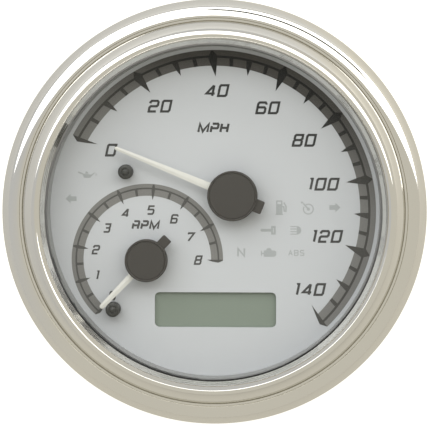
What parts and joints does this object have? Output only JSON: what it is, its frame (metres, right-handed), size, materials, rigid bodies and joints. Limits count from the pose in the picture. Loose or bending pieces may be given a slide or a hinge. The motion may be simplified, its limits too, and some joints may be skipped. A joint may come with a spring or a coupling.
{
  "type": "instrument cluster",
  "caption": "Round motorcycle instrument cluster: stepped chrome bezel, white dial with speedometer and tachometer pointers, display window and rear connector.",
  "frame": {"origin": "centre of the seating plane, where the gasket under the bezel meets the dash; the barrel's axis passes through it", "axes": "+Z out of the dial towards the rider, +Y towards 12 o'clock on the dial, +X to the rider's right"},
  "size_m": [0.127, 0.127, 0.047],
  "materials": {
    "bezel_chrome": "polished chrome plate",
    "seal_rubber": "matt black",
    "lens_clear": "clear, polished",
    "spacer_grey": "fine satin",
    "dial_white": "printed, matt cool white",
    "pin_black": "satin black",
    "pointer_white": "matt ivory white",
    "cap_grey": "fine textured dark grey",
    "guide_clear": "frosted acrylic",
    "carrier_white": "moulded white",
    "lcd_face": "grey-green liquid crystal",
    "backlight_white": "diffuse white",
    "frame_black": "moulded black",
    "strip_pink": "layered elastomer",
    "board_green": "solder-masked glass epoxy",
    "led_white": "phosphor in a white package",
    "led_colour": "tinted lamp in a white package",
    "chip_black": "moulded epoxy",
    "capacitor_can": "drawn can",
    "screw_steel": "zinc plated",
    "motor_white": "moulded natural plastic",
    "stator_steel": "punched soft iron",
    "coil_copper": "enamelled copper wire",
    "rotor_magnet": "bonded magnet",
    "gear_acetal": "natural acetal",
    "housing_black": "fine spark texture",
    "header_grey": "glass-filled nylon",
    "terminal_metal": "gold flashed",
    "insert_brass": "turned brass",
    "vent_white": "woven breather membrane"
  },
  "bodies": {
    "cluster": {"bezel": "bezel_chrome", "lens_seal": "seal_rubber", "lens": "lens_clear", "spacer_ring": "spacer_grey", "dial_face": "dial_white", "speed_stop_pin": "pin_black", "rpm_stop_pin": "pin_black", "light_guide": "guide_clear", "light_housing": "carrier_white", "lcd_glass": "lcd_face", "lcd_backlight": "backlight_white", "lcd_frame": "frame_black", "lcd_contact_strips": "strip_pink", "circuit_board": "board_green", "dial_leds": "led_white", "telltale_leds": "led_colour", "microcontroller": "chip_black", "board_capacitors": "capacitor_can", "voltage_regulator": "chip_black", "board_screws": "screw_steel", "rear_housing": "housing_black", "dash_gasket": "seal_rubber", "connector_header": "header_grey", "connector_pins": "terminal_metal", "connector_seal": "seal_rubber", "mounting_inserts": "insert_brass", "breather_vent": "vent_white", "speed_motor_cover": "motor_white", "speed_motor_case": "motor_white", "speed_motor_stator": "stator_steel", "speed_motor_coils": "coil_copper", "rpm_motor_cover": "motor_white", "rpm_motor_case": "motor_white", "rpm_motor_stator": "stator_steel", "rpm_motor_coils": "coil_copper"},
    "speed_pointer": {"speed_pointer_blade": "pointer_white", "speed_pointer_cap": "cap_grey", "speed_motor_output_gear": "gear_acetal"},
    "speed_idler": {"speed_motor_idler": "gear_acetal"},
    "speed_rotor": {"speed_motor_rotor": "rotor_magnet"},
    "rpm_pointer": {"rpm_pointer_blade": "pointer_white", "rpm_pointer_cap": "cap_grey", "rpm_motor_output_gear": "gear_acetal"},
    "rpm_idler": {"rpm_motor_idler": "gear_acetal"},
    "rpm_rotor": {"rpm_motor_rotor": "rotor_magnet"}
  },
  "joints": [
    {"name": "speed_needle", "type": "hinge", "parent": "cluster", "child": "speed_pointer", "pos_m": [0.0056, 0.00485, 0.0032], "axis": [0, 0, 1], "range_deg": [-214, 4.5]},
    {"name": "speed_idler_spin", "type": "hinge", "parent": "cluster", "child": "speed_idler", "pos_m": [0.0098, 0.01212, -0.0135], "axis": [0, 0, 1], "range_deg": [-28, 1285]},
    {"name": "speed_rotor_spin", "type": "hinge", "parent": "cluster", "child": "speed_rotor", "pos_m": [0.0133, 0.01819, -0.0165], "axis": [0, 0, 1], "range_deg": [-7705, 163]},
    {"name": "rpm_needle", "type": "hinge", "parent": "cluster", "child": "rpm_pointer", "pos_m": [-0.0203, -0.0146, 0.0032], "axis": [0, 0, 1], "range_deg": [-228, 0]},
    {"name": "rpm_idler_spin", "type": "hinge", "parent": "cluster", "child": "rpm_idler", "pos_m": [-0.02757, -0.0104, -0.0135], "axis": [0, 0, 1], "range_deg": [-1, 1369]},
    {"name": "rpm_rotor_spin", "type": "hinge", "parent": "cluster", "child": "rpm_rotor", "pos_m": [-0.03364, -0.0069, -0.0165], "axis": [0, 0, 1], "range_deg": [-8209, 1]}
  ],
  "couplings": [
    {"joint": "speed_idler_spin", "follows": "speed_needle", "ratio": -6},
    {"joint": "speed_rotor_spin", "follows": "speed_needle", "ratio": 36},
    {"joint": "rpm_idler_spin", "follows": "rpm_needle", "ratio": -6},
    {"joint": "rpm_rotor_spin", "follows": "rpm_needle", "ratio": 36}
  ]
}
